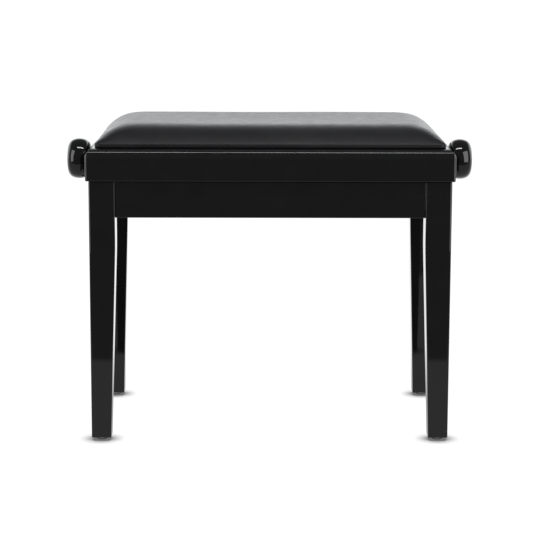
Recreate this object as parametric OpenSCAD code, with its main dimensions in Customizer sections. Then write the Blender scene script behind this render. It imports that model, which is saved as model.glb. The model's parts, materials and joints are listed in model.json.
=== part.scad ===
// Height-adjustable piano bench: a leg frame, a seat frame with an upholstered cushion, and between
// them a steel scissor lift driven by a threaded spindle with a knob at each end.
// Drawn at the lowest setting. Millimetres, +X to the bench's right, +Y to its rear, +Z up, z = 0 is the floor.

/* [Leg frame] */
// width over the legs
leg_frame_w = 547; // [530:1:566]
// depth over the legs
leg_frame_d = 320; // [300:1:330]
// side of a leg at the top
leg_top = 39.5; // [34:0.5:44]
// side of a leg at the bottom
leg_foot = 30; // [22:1:34]
// height of the leg tops above the floor
leg_top_z = 400.9; // [390:0.1:410]
// height of the aprons' top edges, just under the seat frame
apron_top_z = 401.1; // [390:0.1:410]
// height at which the inner faces of a leg start to taper
taper_z = 298; // [260:1:336]
// height of an apron
apron_h = 55.1; // [50:0.1:70]
// thickness of an apron
apron_t = 20; // [16:1:22]
// set-back of the aprons behind the leg faces
apron_set = 1.8; // [0.5:0.1:4]
// radius of the outer leg edges
leg_edge_r = 2.5; // [1:0.5:5]

/* [Glides and pads] */
// diameter of a glide
glide_d = 18; // [14:1:22]
// height of a glide
glide_h = 5; // [3:0.5:8]
// thickness of a rest pad on a leg top
pad_t = 0.6; // [0.5:0.1:3]

/* [Seat frame] */
// width over the seat frame
seat_w = 556; // [550:1:575]
// depth over the seat frame
seat_d = 330; // [326:1:350]
// bottom of the seat frame at the lowest setting
seat_bottom_z = 401.6; // [401.6:0.1:404]
// height of a rail of the seat frame
rail_h = 49.5; // [44:0.5:54]
// thickness of a rail of the seat frame
rail_t = 20; // [16:1:24]
// radius of the outer top edge of the rails
rail_edge_r = 15; // [3:0.5:18]

/* [Cushion] */
// set-back of the cushion from the outside of the seat frame
cushion_set = 13; // [10:1:20]
// height of the near-vertical lower edge of the cushion
cushion_edge = 5; // [4:0.1:12]
// height of the crown over the lower edge
cushion_crown = 27; // [20:1:45]
// width of the rounded flank, seen from above
cushion_flank = 63; // [40:1:74]
// thickness of the seat board
board_t = 8; // [7.5:0.5:8]

/* [Knobs and spindle] */
// height of the spindle axis at the lowest setting
spindle_z = 418; // [416:1:420]
// diameter of the threaded spindle
spindle_d = 14; // [12:1:16]
// diameter of a knob
knob_d = 64; // [50:1:68]
// length of a knob
knob_l = 37; // [28:0.5:40]
// gap between the seat frame and the body of a knob
knob_gap = 4.5; // [4.5:0.5:9]

/* [Scissor lift] */
// distance between the end pivots of an arm
arm_l = 340; // [320:1:350]
// width of an arm
arm_w = 25; // [20:1:26]
// thickness of an arm
arm_t = 4; // [3:0.5:4]
// height of the lower pivots
low_z = 371; // [369:1:373]
// diameter of the pivot pins and rods
pin_d = 10; // [8:1:10]
// horizontal travel of the sliding ends
slide_travel = 30; // [20:1:34]
// radial clearance of a turning pin
run_c = 0.05; // [0.03:0.01:0.1]

/* [Hidden] */

lacquer = [0.05, 0.05, 0.055];
leather = [0.10, 0.10, 0.11];
steel = [0.62, 0.63, 0.65];
darksteel = [0.20, 0.20, 0.21];
wood = [0.72, 0.58, 0.40];
brass = [0.78, 0.63, 0.32];
nylon = [0.88, 0.87, 0.83];
felt = [0.12, 0.12, 0.12];

hx = leg_frame_w / 2;
hy = leg_frame_d / 2;
apron_z = apron_top_z - apron_h;
sx = seat_w / 2;
sy = seat_d / 2;
seat_top_z = seat_bottom_z + rail_h;
board_z = seat_top_z + 0.2;
apron_in = hy - apron_set - apron_t;
apron_in_x = hx - apron_set - apron_t;

rise0 = spindle_z - low_z;
run0 = sqrt(arm_l * arm_l - rise0 * rise0);
half_run = run0 / 2;
mid_z = (spindle_z + low_z) / 2;
tilt0 = asin(rise0 / arm_l);

web_t = 2.5;
web_in = 125;
web_out = web_in + web_t;
b_in = 117.5;
b_out = b_in + arm_t;
a_in = 110.5;
a_out = a_in + arm_t;
bush_d = 14;
slot_h = bush_d + 2 * run_c;
base_z0 = low_z - 15;
base_h = 30;
base_half = 195;
top_half = 205;
web_z0 = spindle_z - 14;

// a box from corner to corner
module block(x0, x1, y0, y1, z0, z1) {
    translate([x0, y0, z0])
        cube([x1 - x0, y1 - y0, z1 - z0]);
}

// a round bar along Y from y0 to y1
module bar_y(x, z, d, y0, y1) {
    translate([x, y1, z])
        rotate([90, 0, 0])
            cylinder(d = d, h = y1 - y0, $fn = 64);
}

// a round bar along X from x0 to x1
module bar_x(y, z, d, x0, x1) {
    translate([x0, y, z])
        rotate([0, 90, 0])
            cylinder(d = d, h = x1 - x0, $fn = 64);
}

// a ring along Y
module ring_y(x, z, d, bore, y0, y1) {
    difference() {
        bar_y(x, z, d, y0, y1);
        bar_y(x, z, bore, y0 - 1, y1 + 1);
    }
}

// a ring along X
module ring_x(y, z, d, bore, x0, x1) {
    difference() {
        bar_x(y, z, d, x0, x1);
        bar_x(y, z, bore, x0 - 1, x1 + 1);
    }
}

// front and rear copies
module both_sides() {
    children();
    mirror([0, 1, 0])
        children();
}

// left and right copies
module both_ends() {
    children();
    mirror([1, 0, 0])
        children();
}

// profile of a leg in a plane through its axis: outer edge at 0, inner edge tapered
module leg_profile() {
    polygon([
        [0, glide_h],
        [leg_foot, glide_h],
        [leg_top, taper_z],
        [leg_top, leg_top_z],
        [0, leg_top_z]
    ]);
}

// plan of a leg with its outer corner rounded, outer corner at the origin
module leg_plan() {
    difference() {
        square([leg_top, leg_top]);
        difference() {
            translate([-1, -1])
                square([leg_edge_r + 1, leg_edge_r + 1]);
            translate([leg_edge_r, leg_edge_r])
                circle(r = leg_edge_r, $fn = 48);
        }
    }
}

// one leg, outer corner on the Z axis, body towards +X and +Y
module leg() {
    difference() {
        intersection() {
            translate([0, leg_top + 1, 0])
                rotate([90, 0, 0])
                    linear_extrude(leg_top + 2)
                        leg_profile();
            translate([-1, 0, 0])
                rotate([90, 0, 90])
                    linear_extrude(leg_top + 2)
                        leg_profile();
            linear_extrude(leg_top_z + 1)
                leg_plan();
        }
        // pilot hole of the glide's nail
        translate([leg_foot / 2, leg_foot / 2, glide_h - 1])
            cylinder(d = 3.2, h = 15, $fn = 32);
        // pilot hole of the corner bolt
        translate([leg_top, leg_top, (apron_z + leg_top_z) / 2])
            rotate([0, -90, 45])
                cylinder(d = 8.2, h = 26, center = true, $fn = 32);
    }
}

module leg_front_left() {
    color(lacquer)
        translate([-hx, -hy, 0])
            leg();
}

module leg_front_right() {
    color(lacquer)
        mirror([1, 0, 0])
            translate([-hx, -hy, 0])
                leg();
}

module leg_rear_left() {
    color(lacquer)
        mirror([0, 1, 0])
            translate([-hx, -hy, 0])
                leg();
}

module leg_rear_right() {
    color(lacquer)
        mirror([1, 0, 0])
            mirror([0, 1, 0])
                translate([-hx, -hy, 0])
                    leg();
}

// screw positions of a base rail
base_screw_x = [-186, -100, 0, 100, 186];

// the front apron, with the pilot holes of the base rail's screws
module apron_long() {
    difference() {
        block(-hx + leg_top, hx - leg_top, -hy + apron_set, -apron_in, apron_z, apron_top_z);
        for (x = base_screw_x)
            bar_y(x, low_z, 4.2, -apron_in - 13, -apron_in + 1);
    }
}

module apron_front() {
    color(lacquer)
        apron_long();
}

module apron_rear() {
    color(lacquer)
        mirror([0, 1, 0])
            apron_long();
}

module apron_left() {
    color(lacquer)
        block(-hx + apron_set, -apron_in_x, -hy + leg_top, hy - leg_top, apron_z, apron_top_z);
}

module apron_right() {
    color(lacquer)
        block(apron_in_x, hx - apron_set, -hy + leg_top, hy - leg_top, apron_z, apron_top_z);
}

// one corner block of the leg frame, right rear corner
module corner_block() {
    lx = hx - leg_top;
    ly = hy - leg_top;
    difference() {
        translate([0, 0, apron_z + 5])
            linear_extrude(apron_h - 10)
                polygon([
                    [lx, ly],
                    [lx, apron_in],
                    [lx - 26, apron_in],
                    [apron_in_x, ly - 26],
                    [apron_in_x, ly]
                ]);
        translate([lx, ly, (apron_z + leg_top_z) / 2])
            rotate([0, 90, 45])
                cylinder(d = 8.4, h = 120, center = true, $fn = 32);
    }
}

module corner_blocks() {
    color(wood)
        both_ends()
            both_sides()
                corner_block();
}

// one corner bolt: shank, washer and nut in one
module corner_bolt() {
    lx = hx - leg_top;
    ly = hy - leg_top;
    // distance from the leg's inner edge to the sloping face of the block, along the diagonal
    mx = (lx - 26 + apron_in_x) / 2;
    my = (apron_in + ly - 26) / 2;
    reach = ((lx - mx) + (ly - my)) / sqrt(2);
    translate([lx, ly, (apron_z + leg_top_z) / 2])
        rotate([0, -90, 45]) {
            translate([0, 0, -12])
                cylinder(d = 8, h = reach + 12 + 9, $fn = 32);
            translate([0, 0, reach])
                cylinder(d = 20, h = 1.6, $fn = 48);
            translate([0, 0, reach + 1.6])
                cylinder(d = 15, h = 6.4, $fn = 6);
        }
}

module corner_bolts() {
    color(steel)
        both_ends()
            both_sides()
                corner_bolt();
}

// one glide: a low dome on a nail
module glide() {
    r = glide_d / 2;
    rotate_extrude($fn = 48)
        polygon([
            [0, 0],
            [r - 2.6, 0],
            [r - 1.2, 0.7],
            [r - 0.3, 2],
            [r, 3.4],
            [r, glide_h],
            [1.55, glide_h],
            [1.55, glide_h + 12],
            [0, glide_h + 13]
        ]);
}

module glides() {
    color(steel)
        both_ends()
            both_sides()
                translate([hx - leg_foot / 2, hy - leg_foot / 2, 0])
                    glide();
}

module rest_pads() {
    color(felt)
        both_ends()
            both_sides()
                translate([hx - leg_top / 2 - 3, hy - leg_top / 2 - 3, leg_top_z])
                    cylinder(d = 18, h = pad_t, $fn = 48);
}

// a slot for a bush, along X
module slot_cut(x0, x1, z, y0, y1) {
    bar_y(x0, z, slot_h, y0, y1);
    bar_y(x1, z, slot_h, y0, y1);
    block(x0, x1, y0, y1, z - slot_h / 2, z + slot_h / 2);
}

// front base rail: a channel open at the top, its outer web against the apron
module base_rail() {
    difference() {
        block(-base_half, base_half, -apron_in, -web_in, base_z0, base_z0 + base_h);
        block(-base_half - 1, base_half + 1, -apron_in + web_t, -web_out,
            base_z0 + web_t, base_z0 + base_h + 1);
        bar_y(-half_run, low_z, pin_d + 2 * run_c, -web_out - 1, -web_in + 1);
        slot_cut(half_run - slide_travel - 1.5, half_run + 1.5, low_z, -web_out - 1, -web_in + 1);
        for (x = base_screw_x)
            bar_y(x, low_z, 4.6, -apron_in - 1, -apron_in + web_t + 1);
        // screwdriver holes in the inner web
        for (x = [-186, -100, 0, 100, 186])
            bar_y(x, low_z, 10, -web_out - 1, -web_in + 1);
    }
}

module base_rail_front() {
    color(darksteel)
        base_rail();
}

module base_rail_rear() {
    color(darksteel)
        mirror([0, 1, 0])
            base_rail();
}

module base_rail_screws() {
    color(steel)
        both_sides()
            for (x = base_screw_x) {
                bar_y(x, low_z, 4, -apron_in - 12, -apron_in + web_t + 0.5);
                bar_y(x, low_z, 8, -apron_in + web_t, -apron_in + web_t + 2.4);
            }
}

// a flat arm with round ends lying along X from the origin, thickness towards +Y
module arm(end0_d, mid_d, end1_d) {
    difference() {
        union() {
            bar_y(0, 0, arm_w, 0, arm_t);
            bar_y(arm_l, 0, arm_w, 0, arm_t);
            block(0, arm_l, 0, arm_t, -arm_w / 2, arm_w / 2);
        }
        bar_y(0, 0, end0_d, -1, arm_t + 1);
        bar_y(arm_l / 2, 0, mid_d, -1, arm_t + 1);
        bar_y(arm_l, 0, end1_d, -1, arm_t + 1);
    }
}

// arm A: from the lower left pivot up to the nut bar on the right
module arm_a() {
    translate([-half_run, -a_out, low_z])
        rotate([0, -tilt0, 0])
            arm(pin_d, pin_d, pin_d + 2 * run_c);
}

module arm_a_front() {
    color(steel)
        arm_a();
}

module arm_a_rear() {
    color(steel)
        mirror([0, 1, 0])
            arm_a();
}

module pivot_rod() {
    color(steel)
        bar_y(-half_run, low_z, pin_d, -web_out - 4, web_out + 4);
}

module pivot_spacers() {
    color(steel)
        both_sides()
            ring_y(-half_run, low_z, 16, pin_d, -web_in + 0.3, -a_out);
}

module pivot_clips() {
    color(darksteel)
        both_sides()
            ring_y(-half_run, low_z, 17, pin_d, -web_out - 2, -web_out - 0.3);
}

module centre_rivets() {
    color(steel)
        both_sides() {
            bar_y(0, mid_z, pin_d, -b_out - 0.4, -a_in);
            bar_y(0, mid_z, 16, -b_out - 2.2, -b_out - 0.3);
            ring_y(0, mid_z, 18, pin_d, -b_in + 0.3, -a_out);
            bar_y(0, mid_z, 16, -a_in, -a_in + 2);
        }
}

// arm B: from the slide rod at the lower right up to the fixed pivot on the left
module arm_b() {
    translate([-half_run, -b_out, spindle_z])
        rotate([0, tilt0, 0])
            arm(pin_d + 2 * run_c, pin_d + 2 * run_c, pin_d);
}

module arm_b_front() {
    color(steel)
        arm_b();
}

module arm_b_rear() {
    color(steel)
        mirror([0, 1, 0])
            arm_b();
}

module slide_rod() {
    color(steel)
        bar_y(half_run, low_z, pin_d, -web_out - 4, web_out + 4);
}

// flanged bush on a rod or trunnion, in the slot of a web
module slide_bush(x, z) {
    difference() {
        union() {
            bar_y(x, z, bush_d, -web_out - 0.4, -web_in + 0.4);
            bar_y(x, z, 20, -web_in + 0.3, -b_out);
        }
        bar_y(x, z, pin_d, -web_out - 1, -b_out + 1);
    }
}

module slide_bushes() {
    color(nylon)
        both_sides()
            slide_bush(half_run, low_z);
}

module slide_clips() {
    color(darksteel)
        both_sides()
            ring_y(half_run, low_z, 18, pin_d, -web_out - 2, -web_out - 0.4);
}

// section of a rail of the seat frame: outer face at 0, outer top edge rounded
module rail_section() {
    r = rail_edge_r;
    difference() {
        square([rail_t, rail_h]);
        difference() {
            translate([-1, rail_h - r])
                square([r + 1, r + 1]);
            translate([r, rail_h - r])
                circle(r = r, $fn = 64);
        }
        // small round at the lower outer edge
        difference() {
            translate([-1, -1])
                square([3, 3]);
            translate([2, 2])
                circle(r = 2, $fn = 48);
        }
    }
}

// the four rails as one ring before the mitres are cut
module rail_x() {
    // section extruded along X, outer face towards -Y
    translate([-sx, -sy, seat_bottom_z])
        rotate([90, 0, 90])
            linear_extrude(seat_w)
                rail_section();
}

module rail_y() {
    // section extruded along Y, outer face towards -X
    translate([-sx, sy, seat_bottom_z])
        rotate([90, 0, 0])
            linear_extrude(seat_d)
                rail_section();
}

// wedge of the plan that the front rail keeps, between the two 45 degree mitres
module mitre_front() {
    translate([0, 0, seat_bottom_z - 1])
        linear_extrude(rail_h + 2)
            polygon([
                [-sx, -sy],
                [sx, -sy],
                [sx - rail_t, -sy + rail_t],
                [-sx + rail_t, -sy + rail_t]
            ]);
}

module mitre_left() {
    translate([0, 0, seat_bottom_z - 1])
        linear_extrude(rail_h + 2)
            polygon([
                [-sx, -sy],
                [-sx + rail_t, -sy + rail_t],
                [-sx + rail_t, sy - rail_t],
                [-sx, sy]
            ]);
}

module long_rail() {
    intersection() {
        rail_x();
        mitre_front();
    }
}

module short_rail() {
    difference() {
        intersection() {
            rail_y();
            mitre_left();
        }
        bar_x(0, spindle_z, bush_od, -sx - 1, -sx + rail_t + 1);
    }
}

module rail_front() {
    color(lacquer)
        long_rail();
}

module rail_rear() {
    color(lacquer)
        mirror([0, 1, 0])
            long_rail();
}

module rail_left() {
    color(lacquer)
        short_rail();
}

module rail_right() {
    color(lacquer)
        mirror([1, 0, 0])
            short_rail();
}

bush_od = spindle_d + 6;
seat_in_x = sx - rail_t;
seat_in_y = sy - rail_t;
block_leg = 44;

module seat_block() {
    difference() {
        translate([0, 0, seat_top_z - 28])
            linear_extrude(28 + 0.2)
                polygon([
                    [seat_in_x, seat_in_y],
                    [seat_in_x - block_leg, seat_in_y],
                    [seat_in_x, seat_in_y - block_leg]
                ]);
        translate([seat_in_x - 13, seat_in_y - 13, seat_top_z - 30])
            cylinder(d = 4.6, h = 40, $fn = 32);
    }
}

module seat_blocks() {
    color(wood)
        both_ends()
            both_sides()
                seat_block();
}

module seat_block_screws() {
    color(steel)
        both_ends()
            both_sides()
                translate([seat_in_x - 13, seat_in_y - 13, seat_top_z - 30.4]) {
                    cylinder(d = 4, h = 37, $fn = 32);
                    cylinder(d = 9, h = 2.4, $fn = 32);
                }
}

top_screw_x = [-190, -95, 0, 95, 190];

// front top rail: an angle, its flange under the seat board and its web hanging down
module top_rail() {
    difference() {
        union() {
            block(-top_half, top_half, -web_out, -web_in, web_z0, board_z);
            block(-top_half, top_half, -seat_in_y + 1.5, -web_in, board_z - web_t, board_z);
        }
        bar_y(-half_run, spindle_z, pin_d, -web_out - 1, -web_in + 1);
        slot_cut(half_run - slide_travel - 1.5, half_run + 1.5, spindle_z, -web_out - 1, -web_in + 1);
        for (x = top_screw_x)
            translate([x, -web_out - 8, board_z - web_t - 1])
                cylinder(d = 4.6, h = web_t + 2, $fn = 32);
    }
}

module top_rail_front() {
    color(darksteel)
        top_rail();
}

module top_rail_rear() {
    color(darksteel)
        mirror([0, 1, 0])
            top_rail();
}

module top_rail_screws() {
    color(steel)
        both_sides()
            for (x = top_screw_x)
                translate([x, -web_out - 8, board_z - web_t - 2.4]) {
                    cylinder(d = 4, h = web_t + 2.4 + 6, $fn = 32);
                    cylinder(d = 8, h = 2.4, $fn = 32);
                }
}

module top_pivot_pins() {
    color(steel)
        both_sides() {
            bar_y(-half_run, spindle_z, pin_d, -web_out - 1.5, -b_in + 0.6);
            bar_y(-half_run, spindle_z, 15, -web_in, -b_out - 0.4);
            bar_y(-half_run, spindle_z, 15, -b_in + 0.4, -b_in + 2);
            bar_y(-half_run, spindle_z, 15, -web_out - 2, -web_out);
        }
}

// flanged bushes in the side rails, around the spindle
module spindle_bushes() {
    color(brass)
        both_ends()
            difference() {
                union() {
                    bar_x(0, spindle_z, bush_od, seat_in_x, sx);
                    bar_x(0, spindle_z, 30, sx, sx + 2);
                }
                bar_x(0, spindle_z, spindle_d + 2 * run_c, seat_in_x - 1, sx + 3);
            }
}

cw = sx - cushion_set;
cd = sy - cushion_set;
wrap = 5;

module seat_board() {
    color(wood)
        difference() {
            block(-cw + wrap, cw - wrap, -cd + wrap, cd - wrap, board_z, board_z + board_t);
            for (x = top_screw_x)
                for (s = [-1, 1])
                    translate([x, s * (web_out + 8), board_z - 1])
                        cylinder(d = 4.2, h = 7.2, $fn = 32);
            for (s = [-1, 1])
                for (t = [-1, 1])
                    translate([s * (seat_in_x - 13), t * (seat_in_y - 13), board_z - 1])
                        cylinder(d = 4.2, h = 8, $fn = 32);
        }
}

// share of the flank's width at which the crown's section is drawn
crown_steps = [0, 0.12, 0.25, 0.4, 0.55, 0.7, 0.85, 1];

// one level of the cushion: a thin plate with rounded corners, set in by d
module cushion_plate(d, z, h) {
    r = 9 + 0.8 * d;
    for (s = [-1, 1])
        for (t = [-1, 1])
            translate([s * (cw - d - r), t * (cd - d - r), z])
                cylinder(r = r, h = h, $fn = 32);
}

// upholstery: a closed crowned pad over the board, its lower edge drawn down round the board
module cushion() {
    color(leather)
        difference() {
            hull() {
                cushion_plate(0, board_z, cushion_edge);
                for (k = crown_steps)
                    cushion_plate(cushion_flank * k,
                        board_z + cushion_edge + cushion_crown * (1 - pow(1 - k, 2.5)) - 0.01, 0.01);
            }
            block(-cw + wrap - 0.3, cw - wrap + 0.3, -cd + wrap - 0.3, cd - wrap + 0.3,
                board_z - 1, board_z + board_t + 0.3);
        }
}

nut_w = 18;

module nut_bar() {
    color(steel)
        difference() {
            union() {
                block(half_run - nut_w / 2, half_run + nut_w / 2, -a_in + 0.5, a_in - 0.5,
                    spindle_z - 12, spindle_z + 12);
                bar_y(half_run, spindle_z, pin_d, -web_out - 4, web_out + 4);
            }
            bar_x(0, spindle_z, spindle_d + 8, half_run - nut_w, half_run + nut_w);
        }
}

// threaded nut pressed into the nut bar
module spindle_nut() {
    color(brass)
        difference() {
            union() {
                bar_x(0, spindle_z, spindle_d + 8, half_run - nut_w / 2 - 4, half_run + nut_w / 2);
                bar_x(0, spindle_z, spindle_d + 16, half_run - nut_w / 2 - 4, half_run - nut_w / 2);
            }
            bar_x(0, spindle_z, spindle_d + 2 * run_c, half_run - nut_w, half_run + nut_w);
        }
}

module nut_bushes() {
    color(nylon)
        both_sides() {
            slide_bush(half_run, spindle_z);
            ring_y(half_run, spindle_z, 16, pin_d, -b_out, -a_out - 0.3);
        }
}

module nut_clips() {
    color(darksteel)
        both_sides()
            ring_y(half_run, spindle_z, 18, pin_d, -web_out - 2, -web_out - 0.4);
}

knob_x0 = sx + knob_gap;
knob_x1 = knob_x0 + knob_l;
knob_hub = 0.8;
spindle_end = knob_x1 - 8;

module spindle() {
    color(steel)
        bar_x(0, spindle_z, spindle_d, -spindle_end, spindle_end);
}

// profile of a knob: radius against length from its inner face, fat and well rounded
// half section of the knob: a barrel crown running into well-rounded ends, and a short hub
module knob_half() {
    r = knob_d / 2;
    crown_r = 28;
    end_r = 13;
    dome = 1;
    mid = (knob_l - dome) / 2;
    reach = mid - end_r;
    end_c = r - crown_r + sqrt(pow(crown_r - end_r, 2) - reach * reach);
    turn = atan2(reach, end_c - r + crown_r);
    difference() {
        union() {
            // hub towards the seat frame
            translate([0, -knob_hub])
                square([14, 4]);
            // crown, cut off where the end rounds take over
            intersection() {
                translate([r - crown_r, mid])
                    circle(r = crown_r, $fn = 128);
                translate([0, mid - crown_r * sin(turn)])
                    square([r, 2 * crown_r * sin(turn)]);
            }
            for (s = [-1, 1])
                translate([end_c, mid + s * reach])
                    circle(r = end_r, $fn = 96);
            square([end_c, knob_l - dome]);
            // gently domed outer face
            intersection() {
                translate([0, knob_l - 162])
                    circle(r = 162, $fn = 256);
                translate([0, knob_l - 6])
                    square([end_c, 10]);
            }
        }
        translate([-4 * r, -10])
            square([4 * r, knob_l + 20]);
        // bore for the spindle end
        translate([0, -10])
            square([spindle_d / 2, spindle_end - knob_x0 + 10]);
    }
}

module knob() {
    translate([knob_x0, 0, spindle_z])
        rotate([0, 90, 0])
            rotate_extrude($fn = 96)
                knob_half();
}

module knob_left() {
    color(lacquer)
        mirror([1, 0, 0])
            knob();
}

module knob_right() {
    color(lacquer)
        knob();
}

module spindle_collars() {
    color(steel)
        both_ends()
            difference() {
                ring_x(0, spindle_z, 26, spindle_d, seat_in_x - 10.3, seat_in_x - 0.3);
                translate([seat_in_x - 5.3, 0, spindle_z])
                    cylinder(d = 5.2, h = 20, $fn = 32);
            }
}

module collar_screws() {
    color(darksteel)
        both_ends()
            translate([seat_in_x - 5.3, 0, spindle_z + spindle_d / 2])
                cylinder(d = 5, h = 6.5, $fn = 32);
}

module knob_washers() {
    color(steel)
        both_ends()
            ring_x(0, spindle_z, 26, spindle_d, sx + 2.3, knob_x0 - knob_hub);
}

leg_front_left();
leg_front_right();
leg_rear_left();
leg_rear_right();
apron_front();
apron_rear();
apron_left();
apron_right();
corner_blocks();
corner_bolts();
glides();
rest_pads();
base_rail_front();
base_rail_rear();
base_rail_screws();
arm_a_front();
arm_a_rear();
pivot_rod();
pivot_spacers();
pivot_clips();
centre_rivets();
arm_b_front();
arm_b_rear();
slide_rod();
slide_bushes();
slide_clips();
rail_front();
rail_rear();
rail_left();
rail_right();
seat_blocks();
seat_block_screws();
top_rail_front();
top_rail_rear();
top_rail_screws();
top_pivot_pins();
spindle_bushes();
seat_board();
cushion();
nut_bar();
spindle_nut();
nut_bushes();
nut_clips();
spindle();
knob_left();
knob_right();
spindle_collars();
collar_screws();
knob_washers();
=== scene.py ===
"""Looks of a height-adjustable piano bench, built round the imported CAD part. All sizes in metres."""
import json
import math
import bpy
import bmesh
from mathutils import Matrix, Vector

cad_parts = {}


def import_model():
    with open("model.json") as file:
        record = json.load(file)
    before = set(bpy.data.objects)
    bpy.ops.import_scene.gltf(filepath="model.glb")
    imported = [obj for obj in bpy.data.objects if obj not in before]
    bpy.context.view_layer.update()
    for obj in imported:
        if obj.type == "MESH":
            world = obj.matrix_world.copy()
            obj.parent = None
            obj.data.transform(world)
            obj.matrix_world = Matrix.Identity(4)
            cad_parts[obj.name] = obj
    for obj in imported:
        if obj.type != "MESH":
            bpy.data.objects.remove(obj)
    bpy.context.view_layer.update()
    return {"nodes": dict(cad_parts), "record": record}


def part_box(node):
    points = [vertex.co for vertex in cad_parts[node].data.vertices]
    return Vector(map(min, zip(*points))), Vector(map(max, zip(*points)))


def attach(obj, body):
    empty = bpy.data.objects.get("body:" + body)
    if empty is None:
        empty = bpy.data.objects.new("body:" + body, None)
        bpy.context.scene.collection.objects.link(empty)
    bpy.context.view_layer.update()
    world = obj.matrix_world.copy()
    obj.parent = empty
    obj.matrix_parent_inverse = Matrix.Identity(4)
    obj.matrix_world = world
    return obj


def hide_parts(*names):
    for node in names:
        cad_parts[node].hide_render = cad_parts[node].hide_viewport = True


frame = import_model()
MM = 0.001
COLLECTION = bpy.context.scene.collection


# ---------------------------------------------------------------- materials

class Mat:
    """A Principled material with short calls for its procedural nodes, in object space."""

    def __init__(self, name, base, rough, metal=0.0):
        self.m = bpy.data.materials.new(name)
        self.m.use_nodes = True
        self.t = self.m.node_tree
        self.p = self.t.nodes["Principled BSDF"]
        self.p.inputs["Base Color"].default_value = (*base, 1)
        self.p.inputs["Roughness"].default_value = rough
        self.p.inputs["Metallic"].default_value = metal
        self.coords = self.t.nodes.new("ShaderNodeTexCoord").outputs["Object"]

    def set(self, **values):
        for key, value in values.items():
            self.p.inputs[key.replace("_", " ")].default_value = value
        return self

    def stretched(self, sx, sy, sz):
        n = self.t.nodes.new("ShaderNodeMapping")
        n.inputs["Scale"].default_value = (sx, sy, sz)
        self.t.links.new(self.coords, n.inputs["Vector"])
        return n.outputs["Vector"]

    def noise(self, scale, detail=3.0, rough=0.5, vector=None, distortion=0.0):
        n = self.t.nodes.new("ShaderNodeTexNoise")
        n.inputs["Scale"].default_value = scale
        n.inputs["Detail"].default_value = detail
        n.inputs["Roughness"].default_value = rough
        n.inputs["Distortion"].default_value = distortion
        self.t.links.new(vector or self.coords, n.inputs["Vector"])
        return n.outputs["Fac"]

    def cells(self, scale, feature="F1"):
        n = self.t.nodes.new("ShaderNodeTexVoronoi")
        n.feature = feature
        n.inputs["Scale"].default_value = scale
        self.t.links.new(self.coords, n.inputs["Vector"])
        return n.outputs["Distance"]

    def remap(self, value, lo, hi, out_lo, out_hi):
        n = self.t.nodes.new("ShaderNodeMapRange")
        self.t.links.new(value, n.inputs["Value"])
        for key, number in (("From Min", lo), ("From Max", hi), ("To Min", out_lo), ("To Max", out_hi)):
            n.inputs[key].default_value = number
        return n.outputs["Result"]

    def mix(self, fac, a, b):
        n = self.t.nodes.new("ShaderNodeMix")
        n.data_type = "RGBA"
        self.t.links.new(fac, n.inputs["Factor"])
        n.inputs["A"].default_value = (*a, 1)
        n.inputs["B"].default_value = (*b, 1)
        return n.outputs["Result"]

    def colour(self, output):
        self.t.links.new(output, self.p.inputs["Base Color"])
        return self

    def roughness(self, output):
        self.t.links.new(output, self.p.inputs["Roughness"])
        return self

    def bump(self, height, distance, strength=1.0, under=None):
        n = self.t.nodes.new("ShaderNodeBump")
        n.inputs["Distance"].default_value = distance
        n.inputs["Strength"].default_value = strength
        self.t.links.new(height, n.inputs["Height"])
        if under is not None:
            self.t.links.new(under, n.inputs["Normal"])
        self.t.links.new(n.outputs["Normal"], self.p.inputs["Normal"])
        return n.outputs["Normal"]


def lacquer(name, base, peel):
    """Rubbed-out polyester lacquer: near-black body, hard gloss, a trace of orange peel and of wiping marks."""
    m = Mat(name, base, 0.05)
    m.set(IOR=1.5)
    wipe = m.noise(9.0, 4.0, 0.6, m.stretched(1.0, 1.0, 0.35), 0.6)
    m.roughness(m.remap(wipe, 0.3, 0.75, 0.022, 0.055))
    depth = m.noise(30.0, 2.0)
    m.colour(m.mix(m.remap(depth, 0.35, 0.7, 0.0, 1.0), base, tuple(c * 1.35 for c in base)))
    m.bump(m.noise(140.0, 2.0, 0.45), peel * MM, 0.6)
    return m.m


def leather(name):
    """Smooth upholstery leather: tight pebble grain with fine pores, satin finish, faint tone variation."""
    m = Mat(name, (0.011, 0.011, 0.0125), 0.45)
    m.set(IOR=1.27)
    tone = m.noise(14.0, 4.0, 0.55)
    m.colour(m.mix(m.remap(tone, 0.3, 0.7, 0.0, 1.0), (0.0105, 0.0105, 0.012), (0.0165, 0.0165, 0.018)))
    m.roughness(m.remap(m.noise(60.0, 3.0, 0.6), 0.25, 0.75, 0.38, 0.47))
    pebble = m.cells(620.0, "DISTANCE_TO_EDGE")
    grain = m.bump(m.remap(pebble, 0.0, 0.25, 0.0, 1.0), 0.05 * MM, 0.35)
    m.bump(m.noise(2600.0, 2.0, 0.6), 0.02 * MM, 0.25, under=grain)
    return m.m


def steel(name, base, rough, lines):
    """Plated or rolled steel, with drawing lines along X when lines is set."""
    m = Mat(name, base, rough, 1.0)
    vec = m.stretched(12.0, 260.0, 260.0) if lines else m.stretched(120.0, 120.0, 120.0)
    streak = m.noise(1.0, 4.0, 0.65, vec)
    m.roughness(m.remap(streak, 0.25, 0.75, rough * 0.75, rough * 1.35))
    spangle = m.cells(90.0)
    m.colour(m.mix(m.remap(spangle, 0.0, 0.8, 0.0, 1.0), tuple(c * 0.88 for c in base), base))
    m.bump(streak, 0.02 * MM, 0.4)
    return m.m


def painted(name, base):
    """Satin powder coat with its fine leathery texture."""
    m = Mat(name, base, 0.38)
    m.roughness(m.remap(m.noise(45.0, 3.0), 0.3, 0.7, 0.32, 0.46))
    m.colour(m.mix(m.noise(8.0, 3.0), base, tuple(c * 1.5 for c in base)))
    m.bump(m.noise(1400.0, 2.0), 0.03 * MM, 0.35)
    return m.m


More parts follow.
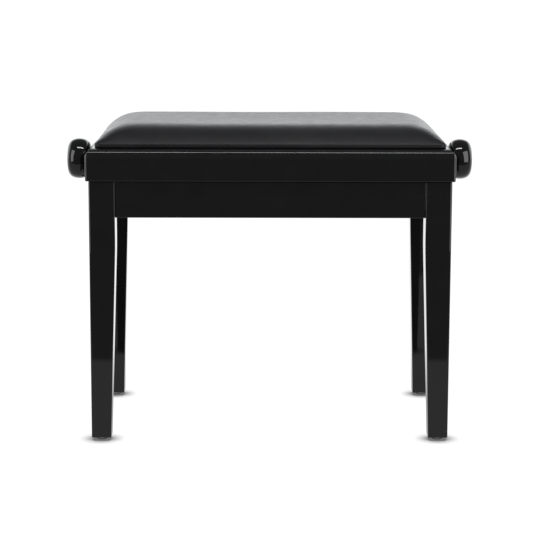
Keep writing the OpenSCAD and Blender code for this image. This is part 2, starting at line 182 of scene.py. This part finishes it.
def stained_wood(name):
    """Black-stained wood: long grain along X shows through the stain, with darker pores."""
    m = Mat(name, (0.03, 0.026, 0.023), 0.6)
    rings = m.noise(1.0, 5.0, 0.6, m.stretched(7.0, 120.0, 120.0), 0.8)
    m.colour(m.mix(m.remap(rings, 0.3, 0.72, 0.0, 1.0), (0.016, 0.014, 0.013), (0.045, 0.038, 0.032)))
    pores = m.noise(1.0, 2.0, 0.5, m.stretched(60.0, 1500.0, 1500.0))
    m.roughness(m.remap(pores, 0.3, 0.7, 0.5, 0.72))
    m.bump(pores, 0.06 * MM, 0.5)
    return m.m


def plain(name, base, rough, scale, depth, spread):
    """Moulded or pressed stuff: tone spread and bump at the given scale."""
    m = Mat(name, base, rough)
    m.colour(m.mix(m.noise(scale * 0.2, 3.0), tuple(c * (1 - spread) for c in base),
                   tuple(min(1.0, c * (1 + spread)) for c in base)))
    m.roughness(m.remap(m.noise(scale * 0.5, 2.0), 0.3, 0.7, rough * 0.85, min(1.0, rough * 1.15)))
    m.bump(m.noise(scale, 3.0), depth * MM, 0.5)
    return m.m


MATS = {
    "black_lacquer": lacquer("black_lacquer", (0.0038, 0.0038, 0.0041), 0.012),
    "black_knob": lacquer("black_knob", (0.0022, 0.0022, 0.0024), 0.006),
    "black_leather": leather("black_leather"),
    "stained_wood": stained_wood("stained_wood"),
    "bright_steel": steel("bright_steel", (0.60, 0.61, 0.62), 0.28, False),
    "arm_steel": steel("arm_steel", (0.46, 0.47, 0.48), 0.36, True),
    "black_steel": painted("black_steel", (0.02, 0.02, 0.021)),
    "nickel": steel("nickel", (0.66, 0.64, 0.60), 0.2, False),
    "brass": steel("brass", (0.70, 0.50, 0.22), 0.26, False),
    "nylon": plain("nylon", (0.74, 0.73, 0.68), 0.45, 300.0, 0.02, 0.05),
    "black_felt": plain("black_felt", (0.02, 0.02, 0.02), 0.95, 1800.0, 0.3, 0.35),
}


# ---------------------------------------------------------------- mesh helpers

def new_piece(name, mesh, body, slot, *nodes):
    """Makes an object of the mesh in its finish, tied to a body and to the CAD nodes it stands for."""
    obj = bpy.data.objects.new(name, mesh)
    COLLECTION.objects.link(obj)
    mesh.materials.clear()
    mesh.materials.append(MATS[slot])
    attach(obj, body)
    if nodes:
        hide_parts(*nodes)
    return obj


def mesh_of(name, bm, sharp_deg=40.0):
    """Finishes a bmesh: outward normals, smooth faces, edges over the angle kept sharp."""
    bmesh.ops.recalc_face_normals(bm, faces=bm.faces)
    for f in bm.faces:
        f.smooth = True
    for e in bm.edges:
        if len(e.link_faces) == 2 and e.calc_face_angle() > math.radians(sharp_deg):
            e.smooth = False
    mesh = bpy.data.meshes.new(name)
    bm.to_mesh(mesh)
    bm.free()
    return mesh


def soften(obj, width, segments=3, angle=30.0, weights=False):
    """Rounds the edges of a piece and keeps its flat faces flat to the light."""
    b = obj.modifiers.new("edges", "BEVEL")
    b.width = width
    b.segments = segments
    b.limit_method = "WEIGHT" if weights else "ANGLE"
    b.angle_limit = math.radians(angle)
    b.harden_normals = False
    b.use_clamp_overlap = True
    w = obj.modifiers.new("normals", "WEIGHTED_NORMAL")
    w.keep_sharp = True
    w.weight = 90
    return obj


def box_bm(lo, hi):
    bm = bmesh.new()
    bmesh.ops.create_cube(bm, size=1.0)
    lo, hi = Vector(lo), Vector(hi)
    for v in bm.verts:
        v.co = Vector(((v.co.x + 0.5) * (hi.x - lo.x) + lo.x,
                       (v.co.y + 0.5) * (hi.y - lo.y) + lo.y,
                       (v.co.z + 0.5) * (hi.z - lo.z) + lo.z))
    return bm


def lathe_bm(profile, steps, axis="X", centre=(0, 0, 0)):
    """Turns (along, radius) points round an axis through centre; a radius of 0 closes the end."""
    bm = bmesh.new()
    rings = []
    c = Vector(centre)
    for along, r in profile:
        if r <= 0:
            rings.append([bm.verts.new((along, 0, 0))])
            continue
        rings.append([bm.verts.new((along, r * math.cos(a), r * math.sin(a)))
                      for a in (2 * math.pi * i / steps for i in range(steps))])
    for a, b in zip(rings, rings[1:]):
        for i in range(steps):
            j = (i + 1) % steps
            if len(a) == 1:
                bm.faces.new((a[0], b[i], b[j]))
            elif len(b) == 1:
                bm.faces.new((a[i], b[0], a[j]))
            else:
                bm.faces.new((a[i], b[i], b[j], a[j]))
    turn = {"X": Matrix.Identity(3), "-X": Matrix.Rotation(math.pi, 3, "Z"),
            "Z": Matrix.Rotation(-math.pi / 2, 3, "Y")}[axis]
    for v in bm.verts:
        v.co = turn @ v.co + c
    return bm


def arc(cx, cy, r, a0, a1, n):
    """Points of an arc, both ends included, angles in degrees."""
    return [(cx + r * math.cos(math.radians(a0 + (a1 - a0) * i / n)),
             cy + r * math.sin(math.radians(a0 + (a1 - a0) * i / n))) for i in range(n + 1)]


def join_bm(target, other):
    """Adds another bmesh's geometry to the target."""
    tmp = bpy.data.meshes.new("tmp")
    other.to_mesh(tmp)
    other.free()
    target.from_mesh(tmp)
    bpy.data.meshes.remove(tmp)


# ---------------------------------------------------------------- legs and aprons

LEG_EDGE = 2.5 * MM
LEG_FOOT = 30 * MM
TAPER_Z = 298 * MM
BLEND = 14 * MM


def leg(node, sx, sy):
    """One leg: flat outer faces, inner faces tapered below TAPER_Z. sx and sy point to its outer corner."""
    lo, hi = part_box(node)
    ox = hi.x if sx > 0 else lo.x
    oy = hi.y if sy > 0 else lo.y
    wide = hi.x - lo.x
    bm = bmesh.new()
    rings = []
    # the taper starts with a short soft bend, not a crease
    for z, w in ((lo.z, LEG_FOOT), (TAPER_Z - BLEND, wide - 0.55 * MM), (TAPER_Z, wide - 0.14 * MM),
                 (TAPER_Z + BLEND, wide), (hi.z, wide)):
        rings.append([bm.verts.new((ox - sx * dx, oy - sy * dy, z))
                      for dx, dy in ((0, 0), (w, 0), (w, w), (0, w))])
    for a, b in zip(rings, rings[1:]):
        for i in range(4):
            j = (i + 1) % 4
            bm.faces.new((a[i], a[j], b[j], b[i]))
    bm.faces.new(rings[0])
    bm.faces.new(rings[-1])
    layer = bm.edges.layers.float.new("bevel_weight_edge")
    for e in bm.edges:
        a, b = e.verts
        upright = abs(a.co.z - b.co.z) > 1e-5
        outer = all(abs(v.co.x - ox) < 1e-6 and abs(v.co.y - oy) < 1e-6 for v in e.verts)
        level = not upright and (min(a.co.z, b.co.z) < lo.z + 1e-5 or max(a.co.z, b.co.z) > hi.z - 1e-5)
        e[layer] = 1.0 if upright and outer else 0.62 if upright else 0.45 if level else 0.0
    obj = new_piece(node + "_lacquered", mesh_of(node, bm, 80), "leg_frame", "black_lacquer", node)
    return soften(obj, LEG_EDGE, 4, weights=True)


def apron(node):
    """One apron: a straight board with small rounded long edges, let in between the legs."""
    lo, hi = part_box(node)
    bm = box_bm(lo, hi)
    obj = new_piece(node + "_lacquered", mesh_of(node, bm, 80), "leg_frame", "black_lacquer", node)
    return soften(obj, 1.1 * MM, 3)


for side, sx in (("left", -1), ("right", 1)):
    for end, sy in (("front", -1), ("rear", 1)):
        leg(f"leg_{end}_{side}", sx, sy)
for where in ("front", "rear", "left", "right"):
    apron(f"apron_{where}")


# ---------------------------------------------------------------- seat frame

FRAME_LO = Vector((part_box("rail_left")[0].x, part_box("rail_front")[0].y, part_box("rail_front")[0].z))
FRAME_HI = Vector((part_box("rail_right")[1].x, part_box("rail_rear")[1].y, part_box("rail_front")[1].z))
RAIL_T = 20 * MM
TOP_R = 15 * MM
FOOT_R = 2 * MM
CORNER_R = 3.2 * MM


def rail_profile():
    """Closed section of a rail as (set-in from the outside, height)."""
    h = FRAME_HI.z - FRAME_LO.z
    pts = arc(FOOT_R, FOOT_R, FOOT_R, 270, 180, 5)
    pts += arc(TOP_R, h - TOP_R, TOP_R, 180, 90, 12)
    pts += arc(RAIL_T - 1 * MM, h - 1 * MM, 1 * MM, 90, 0, 3)
    pts += arc(RAIL_T - 1 * MM, 1 * MM, 1 * MM, 0, -90, 3)
    return pts


def corner_path(inset, steps):
    """Plan of the seat frame at a set-in: (x, y) points round from the rear right corner."""
    out = []
    r = max(CORNER_R - inset, 0.0)
    for k, (sx, sy) in enumerate(((1, 1), (-1, 1), (-1, -1), (1, -1))):
        cx = sx * (FRAME_HI.x - max(inset, CORNER_R))
        cy = sy * (FRAME_HI.y - max(inset, CORNER_R))
        for i in range(steps + 1):
            a = math.radians(90 * k + 90 * i / steps)
            out.append((cx + r * math.cos(a), cy + r * math.sin(a)))
    return out


def end_loops(polys):
    """Closed loops that cap the open ends of a shell, wound against its faces."""
    half_edges = {(a, b) for poly in polys for a, b in zip(poly, poly[1:] + poly[:1])}
    after = {b: a for a, b in half_edges if (b, a) not in half_edges}
    loops = []
    while after:
        loop = [min(after)]
        while loop[-1] in after:
            loop.append(after.pop(loop[-1]))
        loops.append(tuple(loop[:-1]))
    return loops


def seat_frame():
    """The four mitred rails under one skin of lacquer, built as a ring and parted at the mitres."""
    steps = 6
    profile = rail_profile()
    half = steps // 2
    per = steps + 1
    count = 4 * per
    ring_bm = bmesh.new()
    columns = [corner_path(inset, steps) for inset, _ in profile]
    grid = [[ring_bm.verts.new((columns[p][c][0], columns[p][c][1], FRAME_LO.z + profile[p][1]))
             for p in range(len(profile))] for c in range(count)]
    n = len(profile)
    face_rail = []
    for c in range(count):
        d = (c + 1) % count
        corner, step = divmod(c, per)
        # a column belongs to the rail before the corner's middle or after it
        rail = corner if step >= half else (corner - 1) % 4
        for p in range(n):
            q = (p + 1) % n
            ring = [grid[c][p], grid[d][p], grid[d][q], grid[c][q]]
            spots = {tuple(round(x, 7) for x in v.co) for v in ring}
            if len(spots) < 3:
                continue
            ring_bm.faces.new(ring)
            face_rail.append(rail)
    tag = ring_bm.faces.layers.int.new("rail")
    ring_bm.faces.ensure_lookup_table()
    for f, rail in zip(ring_bm.faces, face_rail):
        f[tag] = rail
    bmesh.ops.remove_doubles(ring_bm, verts=ring_bm.verts, dist=1e-7)
    bmesh.ops.recalc_face_normals(ring_bm, faces=ring_bm.faces)
    whole = bpy.data.meshes.new("frame_ring")
    for f in ring_bm.faces:
        f.smooth = True
    ring_bm.to_mesh(whole)
    # weighted normals of the whole ring, so that the lacquer runs over each mitre without a break
    ring = bpy.data.objects.new("frame_ring", whole)
    COLLECTION.objects.link(ring)
    w = ring.modifiers.new("normals", "WEIGHTED_NORMAL")
    w.weight = 90
    bpy.context.view_layer.update()
    done = ring.evaluated_get(bpy.context.evaluated_depsgraph_get()).to_mesh()
    loop_normals = [tuple(x.vector) for x in done.corner_normals]
    loop_owner = [p.index for p in done.polygons for _ in p.loop_indices]
    names = ("rear", "left", "front", "right")
    tags = [f[tag] for f in ring_bm.faces]
    verts = [tuple(v.co) for v in whole.vertices]
    polys = [tuple(p.vertices) for p in whole.polygons]
    for k, name in enumerate(names):
        keep = [i for i, t in enumerate(tags) if t == k]
        caps = end_loops([polys[i] for i in keep])
        used = sorted({v for i in keep for v in polys[i]})
        index = {v: i for i, v in enumerate(used)}
        mesh = bpy.data.meshes.new("rail_" + name)
        mesh.from_pydata([verts[v] for v in used], [],
                         [tuple(index[v] for v in poly) for poly in [polys[i] for i in keep] + caps])
        mesh.polygons.foreach_set("use_smooth", [True] * len(keep) + [False] * len(caps))
        kept = set(keep)
        # a zero vector leaves a cap its own flat normal
        mesh.normals_split_custom_set([nv for nv, o in zip(loop_normals, loop_owner) if o in kept]
                                      + [(0, 0, 0) for cap in caps for _ in cap])
        mesh.update()
        new_piece(f"rail_{name}_lacquered", mesh, "seat", "black_lacquer", "rail_" + name)
    bpy.data.objects.remove(ring)
    ring_bm.free()


seat_frame()


# ---------------------------------------------------------------- cushion

CUSHION_LO, CUSHION_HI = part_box("cushion")
WALL_H = 5 * MM
CROWN = 27 * MM
FLANK = 63 * MM
PLAN_R = 9 * MM


def smooth_min(a, b, k):
    h = max(k - abs(a - b), 0.0) / k
    return min(a, b) - h * h * k / 4


def crown_height(x, y):
    """Height of the leather over its lower edge at a plan point."""
    hx, hy = CUSHION_HI.x, CUSHION_HI.y
    a, b = min((hx - abs(x)) / FLANK, 1.0), min((hy - abs(y)) / FLANK, 1.0)
    s = max(smooth_min(a, b, 0.34 * min(1.0, 2 * (a + b)) + 1e-6), 0.0)
    z = CROWN * (1 - (1 - s) ** 2.5)
    # the middle gives a little where people sit
    dip = math.exp(-(x / 0.15) ** 2 - (y / 0.09) ** 2)
    wave = 0.35 * math.sin(9.0 * x + 1.3) * math.sin(13.0 * y + 0.4) + 0.2 * math.sin(23.0 * x - 7.0 * y)
    return z - 2.2 * MM * dip * s + wave * MM * s


def plan_point(u, v):
    """Unit square to the cushion's plan, a rectangle with rounded corners."""
    hx, hy = CUSHION_HI.x, CUSHION_HI.y
    x, y = u * hx, v * hy
    ex, ey = abs(x) - (hx - PLAN_R), abs(y) - (hy - PLAN_R)
    if ex > 0 and ey > 0:
        m = max(ex, ey)
        d = math.hypot(ex, ey)
        x = math.copysign(hx - PLAN_R + ex * m / d, x)
        y = math.copysign(hy - PLAN_R + ey * m / d, y)
    return x, y


def spaced(n, edge):
    """-1 to 1 with closer steps near both ends."""
    out = []
    for i in range(n + 1):
        t = 2 * i / n - 1
        out.append(t * (1 - edge) + edge * math.sin(t * math.pi / 2))
    return out


def cushion():
    """Crowned leather pad with an upright lower edge, its underside turned in under the board."""
    us, vs = spaced(72, 0.45), spaced(44, 0.45)
    z0 = CUSHION_LO.z + 0.1 * MM
    bm = bmesh.new()
    top = [[None] * len(vs) for _ in us]
    for i, u in enumerate(us):
        for j, v in enumerate(vs):
            x, y = plan_point(u, v)
            top[i][j] = bm.verts.new((x, y, z0 + WALL_H + crown_height(x, y)))
    for i in range(len(us) - 1):
        for j in range(len(vs) - 1):
            bm.faces.new((top[i][j], top[i + 1][j], top[i + 1][j + 1], top[i][j + 1]))
    rim = ([top[i][0] for i in range(len(us))] + [top[-1][j] for j in range(1, len(vs))]
           + [top[i][-1] for i in range(len(us) - 2, -1, -1)] + [top[0][j] for j in range(len(vs) - 2, 0, -1)])
    levels = ((0.80, 0.0), (0.5, -0.05), (0.2, 0.0), (0.06, 0.25), (0.0, 0.9), (0.0, 3.5), (0.0, 8.0))
    last = rim
    for share, inset in levels:
        ring = []
        for v in rim:
            x, y = v.co.x, v.co.y
            n = Vector((max(abs(x) - (CUSHION_HI.x - PLAN_R), 0) * math.copysign(1, x),
                        max(abs(y) - (CUSHION_HI.y - PLAN_R), 0) * math.copysign(1, y)))
            n = n.normalized() if n.length else n
            ring.append(bm.verts.new((x - n.x * inset * MM, y - n.y * inset * MM, z0 + WALL_H * share)))
        for i in range(len(rim)):
            j = (i + 1) % len(rim)
            bm.faces.new((last[i], last[j], ring[j], ring[i]))
        last = ring
    bm.faces.new(last)
    obj = new_piece("cushion_leather", mesh_of("cushion_leather", bm, 180), "seat", "black_leather", "cushion")
    sub = obj.modifiers.new("smooth", "SUBSURF")
    sub.levels = sub.render_levels = 1
    return obj


cushion()


# ---------------------------------------------------------------- knobs

def knob(side):
    """Fat barrel knob: a crowned rim running into well-rounded ends, a faintly domed face, and a short hub."""
    node = "knob_" + side
    lo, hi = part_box(node)
    s = 1 if side == "right" else -1
    r = (hi.z - lo.z) / 2
    hub = 0.8 * MM
    inner = (lo.x if s > 0 else -hi.x) + hub
    outer = hi.x if s > 0 else -lo.x
    crown_r, end_r, dome = 28 * MM, 13 * MM, 1 * MM
    mid = (inner + outer - dome) / 2
    reach = mid - inner - end_r
    end_c = r - crown_r + math.sqrt((crown_r - end_r) ** 2 - reach ** 2)
    turn = math.degrees(math.atan2(reach, end_c - r + crown_r))
    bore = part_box("spindle")[1].x + 0.3 * MM
    prof = [(bore, 0.0), (bore, 7.05 * MM), (inner - hub, 7.05 * MM), (inner - hub, 13.6 * MM),
            (inner - hub + 0.4 * MM, 14 * MM), (inner, 14 * MM)]
    prof += arc(mid - reach, end_c, end_r, 180, 90 + turn, 12)
    prof += arc(mid, r - crown_r, crown_r, 90 + turn, 90 - turn, 10)[1:]
    prof += arc(mid + reach, end_c, end_r, 90 - turn, 4, 14)[1:]
    prof += [(outer - dome * (q / end_c) ** 2, q) for q in (end_c * k / 8 for k in range(8, 0, -1))]
    prof += [(outer, 0.0)]
    bm = lathe_bm(prof, 96, "X" if s > 0 else "-X", (0, 0, (lo.z + hi.z) / 2))
    new_piece(node + "_gloss", mesh_of(node, bm, 50), "spindle_and_knobs", "black_knob", node)


knob("left")
knob("right")


# ---------------------------------------------------------------- glides, spindle, screws

def glides():
    """Four turned glides with a soft dome and a thin collar."""
    lo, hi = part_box("glides")
    bm = bmesh.new()
    r, edge, step = 9 * MM, 2.9 * MM, 0.4 * MM
    prof = [(0.0, 0.0), (0.0, r - edge)]
    prof += [(edge - edge * math.cos(math.radians(a)), r - edge + edge * math.sin(math.radians(a)))
             for a in range(10, 91, 16)]
    prof += [(4.1 * MM, r), (4.5 * MM, r - step), (5.0 * MM, r - step), (5.0 * MM, 0.0)]
    for sx in (-1, 1):
        for sy in (-1, 1):
            join_bm(bm, lathe_bm(prof, 48, "Z", (sx * (hi.x - r), sy * (hi.y - r), 0.0)))
    new_piece("glides_turned", mesh_of("glides", bm, 40), "leg_frame", "nickel", "glides")


def spindle():
    """Spindle with a rolled trapezoidal thread between its two plain ends."""
    lo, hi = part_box("spindle")
    z = (lo.z + hi.z) / 2
    r = (hi.z - lo.z) / 2
    x1 = hi.x
    threaded = 243 * MM
    pitch, deep = 4 * MM, 1.1 * MM
    steps = 24
    turns = int(2 * threaded / pitch)
    bm = bmesh.new()
    shape = ((0.0, 0.0), (0.34, 0.0), (0.5, 1.0), (0.84, 1.0))
    rows = []
    total = turns * steps
    for k in range(total + 1):
        a = 2 * math.pi * k / steps
        x = -turns * pitch / 2 + pitch * k / steps
        fade = min(1.0, k / steps, (total - k) / steps)
        rows.append([bm.verts.new((x + pitch * (f - 0.42), (r - deep * g * fade) * math.cos(a),
                                   z + (r - deep * g * fade) * math.sin(a))) for f, g in shape])
    for k in range(total):
        for q in range(3):
            bm.faces.new((rows[k][q], rows[k + 1][q], rows[k + 1][q + 1], rows[k][q + 1]))
        if k + steps + 1 <= total:
            bm.faces.new((rows[k][3], rows[k + 1][3], rows[k + steps + 1][0], rows[k + steps][0]))
    # the thread's open first and last turns are closed by fans
    for column, edge, end in ((rows[:steps + 1], 0, rows[0][:0:-1]),
                              (rows[total - steps:], 3, rows[-1][2::-1])):
        loop = [row[edge] for row in column] + end
        hub = bm.verts.new((sum(v.co.x for v in loop) / len(loop), 0.0, z))
        for i in range(len(loop)):
            bm.faces.new((hub, loop[i], loop[(i + 1) % len(loop)]))
    start = -turns * pitch / 2 + 1.2 * MM
    for s, axis in ((1, "X"), (-1, "-X")):
        prof = [(-start - 2.5 * MM, 0.0), (-start - 2.5 * MM, r - 0.9 * MM), (-start, r - 0.05 * MM),
                (x1 - 1 * MM, r - 0.05 * MM), (x1, r - 1 * MM), (x1, 0.0)]
        join_bm(bm, lathe_bm(prof, 48, axis, (0, 0, z)))
    new_piece("spindle_threaded", mesh_of("spindle", bm, 35), "spindle_and_knobs", "bright_steel", "spindle")


def screw_head(bm, at, axis, r, h):
    """Pan head with a cross recess, its underside at the given point, looking along the axis."""
    head = bmesh.new()
    steps = 32
    rings = []
    dome = [(0.0, r), (h * 0.45, r), (h * 0.78, r * 0.9), (h * 0.95, r * 0.7), (h, r * 0.52)]
    for along, rad in dome:
        rings.append([head.verts.new((along, rad * math.cos(a), rad * math.sin(a)))
                      for a in (2 * math.pi * i / steps for i in range(steps))])

    def cross(a, size, arm):
        c, s = abs(math.cos(a)), abs(math.sin(a))
        return size if min(c, s) * size < arm else arm / max(min(c, s), 1e-6)

    for along, size, arm in ((h * 0.99, r * 0.5, r * 0.12), (h * 0.45, r * 0.34, r * 0.08)):
        ring = []
        for i in range(steps):
            a = 2 * math.pi * i / steps
            out = cross(a, size, arm)
            ring.append(head.verts.new((along, out * math.cos(a), out * math.sin(a))))
        rings.append(ring)
    for a, b in zip(rings, rings[1:]):
        for i in range(steps):
            j = (i + 1) % steps
            head.faces.new((a[i], b[i], b[j], a[j]))
    head.faces.new(rings[0])
    head.faces.new(rings[-1])
    turn = {"Z": Matrix.Rotation(-math.pi / 2, 3, "Y"), "-Z": Matrix.Rotation(math.pi / 2, 3, "Y"),
            "Y": Matrix.Rotation(math.pi / 2, 3, "Z"), "-Y": Matrix.Rotation(-math.pi / 2, 3, "Z")}[axis]
    for v in head.verts:
        v.co = turn @ v.co + Vector(at)
    join_bm(bm, head)


def screws():
    """Heads of the screws that hold the steel rails and the seat's corner blocks."""
    head_r, head_h, block_head_r = 4 * MM, 2.4 * MM, 4.5 * MM
    lo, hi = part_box("base_rail_screws")
    z = (lo.z + hi.z) / 2
    bm = bmesh.new()
    for x in (-186, -100, 0, 100, 186):
        for s in (-1, 1):
            screw_head(bm, (x * MM, s * 135.7 * MM, z), "-Y" if s > 0 else "Y", head_r, head_h)
    new_piece("base_rail_screw_heads", mesh_of("base_screws", bm, 35), "leg_frame", "bright_steel",
              "base_rail_screws")
    lo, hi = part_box("top_rail_screws")
    bm = bmesh.new()
    for x in (-190, -95, 0, 95, 190):
        for s in (-1, 1):
            screw_head(bm, (x * MM, s * 135.5 * MM, lo.z + head_h), "-Z", head_r, head_h)
    new_piece("top_rail_screw_heads", mesh_of("top_screws", bm, 35), "seat", "bright_steel", "top_rail_screws")
    lo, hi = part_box("seat_block_screws")
    bm = bmesh.new()
    for sx in (-1, 1):
        for sy in (-1, 1):
            at = (sx * (hi.x - block_head_r), sy * (hi.y - block_head_r), lo.z + head_h)
            screw_head(bm, at, "-Z", block_head_r, head_h)
    new_piece("seat_block_screw_heads", mesh_of("block_screws", bm, 35), "seat", "bright_steel",
              "seat_block_screws")


glides()
spindle()
screws()


# ---------------------------------------------------------------- carried-over CAD nodes

SLOT_OF = {s["node"]: s["material_slot"] for s in frame["record"]["subparts"]}
EDGED = {"arm_a_front", "arm_a_rear", "arm_b_front", "arm_b_rear", "base_rail_front", "base_rail_rear",
         "top_rail_front", "top_rail_rear", "nut_bar", "corner_blocks", "seat_blocks", "spindle_collars",
         "centre_rivets", "top_pivot_pins", "spindle_bushes", "knob_washers", "slide_bushes", "nut_bushes",
         "pivot_spacers", "pivot_clips", "slide_clips", "nut_clips", "corner_bolts", "pivot_rod", "slide_rod"}
for name, obj in frame["nodes"].items():
    slot = SLOT_OF[name]
    obj.data.materials.clear()
    obj.data.materials.append(MATS[slot])
    if name in EDGED:
        weld = obj.modifiers.new("weld", "WELD")
        weld.merge_threshold = 2e-6
        soften(obj, 0.35 * MM, 2, 38.0)


# ---------------------------------------------------------------- floor, light, camera

# brightness of the floor from front to back, as the lacquer sees it
FLOOR_LEVELS = ((-2.0, 0.105), (-0.735, 0.11), (-0.705, 0.36), (0.1, 0.38), (0.5, 0.9), (2.0, 1.0))
FLOOR_GAIN = 1.35
# painted shadow: the floor's glow is darkened this close round whatever stands on it, down to this share
PAINTED_SHADOW_REACH, PAINTED_SHADOW_LOW = 0.024, 0.16
SEEN_WHITE = 1.06
WALL_GAIN, FRONT_LEVEL = 2.2, 0.19


class Nodes:
    """Short calls for the nodes of a floor or sky shader."""

    def __init__(self, tree):
        self.t = tree
        tree.nodes.clear()

    def new(self, kind):
        return self.t.nodes.new("ShaderNode" + kind)

    def link(self, a, b):
        self.t.links.new(a, b)

    def remap(self, value, lo, hi, a, b, kind="LINEAR"):
        n = self.new("MapRange")
        n.interpolation_type = kind
        self.link(value, n.inputs["Value"])
        for key, number in (("From Min", lo), ("From Max", hi), ("To Min", a), ("To Max", b)):
            n.inputs[key].default_value = number
        return n.outputs["Result"]

    def times(self, a, b):
        n = self.new("Math")
        n.operation = "MULTIPLY"
        for k, v in enumerate((a, b)):
            if isinstance(v, float):
                n.inputs[k].default_value = v
            else:
                self.link(v, n.inputs[k])
        return n.outputs["Value"]

    def mix(self, fac, a, b):
        n = self.new("MixShader")
        self.link(fac, n.inputs["Fac"])
        self.link(a, n.inputs[1])
        self.link(b, n.inputs[2])
        return n.outputs["Shader"]


def stage():
    """Plain pale floor. It shines by itself, with a painted shadow close round whatever stands on it."""
    bm = bmesh.new()
    bmesh.ops.create_circle(bm, cap_ends=True, radius=7.0, segments=96)
    for v in bm.verts:
        v.co.z = -0.0002
    mesh = bpy.data.meshes.new("floor")
    bm.to_mesh(mesh)
    bm.free()
    obj = bpy.data.objects.new("floor", mesh)
    COLLECTION.objects.link(obj)
    mat = bpy.data.materials.new("floor")
    mat.use_nodes = True
    t = Nodes(mat.node_tree)
    # painted contact shadow: ambient occlusion darkens the floor's own glow near the feet
    ao = t.new("AmbientOcclusion")
    ao.samples = 16
    ao.inputs["Distance"].default_value = PAINTED_SHADOW_REACH
    near = t.remap(ao.outputs["AO"], 0.42, 1.0, PAINTED_SHADOW_LOW, SEEN_WHITE)
    geo = t.new("NewGeometry")
    xyz = t.new("SeparateXYZ")
    t.link(geo.outputs["Position"], xyz.inputs["Vector"])
    ramp = t.new("FloatCurve")
    y0, y1 = FLOOR_LEVELS[0][0], FLOOR_LEVELS[-1][0]
    t.link(t.remap(xyz.outputs["Y"], y0, y1, 0.0, 1.0), ramp.inputs["Value"])
    points = ramp.mapping.curves[0].points
    for y, level in FLOOR_LEVELS[1:-1]:
        points.new((y - y0) / (y1 - y0), level)
    points[0].location = (0.0, FLOOR_LEVELS[0][1])
    points[-1].location = (1.0, FLOOR_LEVELS[-1][1])
    for point in points:
        point.handle_type = "VECTOR"
    ramp.mapping.update()
    seen, other = t.new("Emission"), t.new("Emission")
    # the painted shadow darkens the floor both as the camera sees it and as it shows in reflections
    t.link(near, seen.inputs["Strength"])
    t.link(t.times(t.times(ramp.outputs["Value"], FLOOR_GAIN), near), other.inputs["Strength"])
    eye = t.new("LightPath").outputs["Is Camera Ray"]
    shown = t.mix(eye, other.outputs["Emission"], seen.outputs["Emission"])
    # nothing is there when it is looked at from underneath
    clear = t.new("BsdfTransparent").outputs["BSDF"]
    t.link(t.mix(geo.outputs["Backfacing"], shown, clear), t.new("OutputMaterial").inputs["Surface"])
    mesh.materials.append(mat)


def world():
    """White studio: white behind the object, dim in front and overhead, plain white to the camera."""
    w = bpy.data.worlds.new("studio")
    bpy.context.scene.world = w
    w.use_nodes = True
    t = Nodes(w.node_tree)
    xyz = t.new("SeparateXYZ")
    t.link(t.new("TexCoord").outputs["Generated"], xyz.inputs["Vector"])
    back = t.remap(xyz.outputs["Y"], -0.10, 0.30, 0.0, 1.0, "SMOOTHSTEP")
    low = t.remap(xyz.outputs["Z"], 0.40, 0.74, 1.0, 0.0, "SMOOTHSTEP")
    level = t.new("Math")
    level.operation = "MULTIPLY_ADD"
    t.link(t.times(back, low), level.inputs[0])
    level.inputs[1].default_value = WALL_GAIN
    level.inputs[2].default_value = FRONT_LEVEL
    seen, lit = t.new("Background"), t.new("Background")
    seen.inputs["Color"].default_value = (1, 1, 1, 1)
    seen.inputs["Strength"].default_value = SEEN_WHITE
    lit.inputs["Color"].default_value = (0.97, 0.985, 1.0, 1)
    t.link(level.outputs["Value"], lit.inputs["Strength"])
    eye = t.new("LightPath").outputs["Is Camera Ray"]
    shown = t.mix(eye, lit.outputs["Background"], seen.outputs["Background"])
    t.link(shown, t.new("OutputWorld").inputs["Surface"])


def softbox(name, at, aim, size, radiance):
    """Rectangular area light of a given radiance, hidden from the camera."""
    data = bpy.data.lights.new(name, "AREA")
    data.shape = "RECTANGLE"
    data.size, data.size_y = size
    data.energy = radiance * math.pi * size[0] * size[1]
    obj = bpy.data.objects.new(name, data)
    COLLECTION.objects.link(obj)
    obj.location = at
    obj.rotation_mode = "QUATERNION"
    obj.rotation_quaternion = (Vector(aim) - Vector(at)).to_track_quat("-Z", "Y")
    obj.visible_camera = False
    return obj


stage()
world()
# two strips overhead draw the line along the seat rail, with a gap between them; two tall boxes light the sides
softbox("overhead_left", (-0.345, -0.75, 2.3), (-0.345, -0.08, 0.44), (0.61, 0.185), 19.0)
softbox("overhead_right", (0.305, -0.75, 2.3), (0.305, -0.08, 0.44), (0.61, 0.185), 21.0)
softbox("side_left", (-1.52, -1.08, 0.88), (-0.31, 0.0, 0.50), (0.80, 1.9), 3.3)
softbox("side_right", (1.36, -1.28, 0.92), (0.31, 0.0, 0.50), (1.10, 1.9), 3.3)

YAW, PITCH, ROLL = math.radians(-0.616), math.radians(10.181), math.radians(0.193)
CAMERA_AT = (-0.0228, -2.9444, 0.7593)
cam_data = bpy.data.cameras.new("camera")
cam_data.sensor_width = 36.0
cam_data.lens = 122.36
cam_data.clip_start, cam_data.clip_end = 0.05, 60.0
camera = bpy.data.objects.new("camera", cam_data)
COLLECTION.objects.link(camera)
level_right = Vector((math.cos(YAW), math.sin(YAW), 0))
ahead = Vector((-math.sin(YAW), math.cos(YAW), 0))
look = ahead * math.cos(PITCH) - Vector((0, 0, 1)) * math.sin(PITCH)
up = Vector((0, 0, 1)) * math.cos(PITCH) + ahead * math.sin(PITCH)
right = level_right * math.cos(ROLL) + up * math.sin(ROLL)
up = up * math.cos(ROLL) - level_right * math.sin(ROLL)
turn = Matrix((right, up, -look)).transposed()
camera.matrix_world = Matrix.Translation(CAMERA_AT) @ turn.to_4x4()
bpy.context.scene.camera = camera
bpy.context.scene.view_settings.view_transform = "Standard"
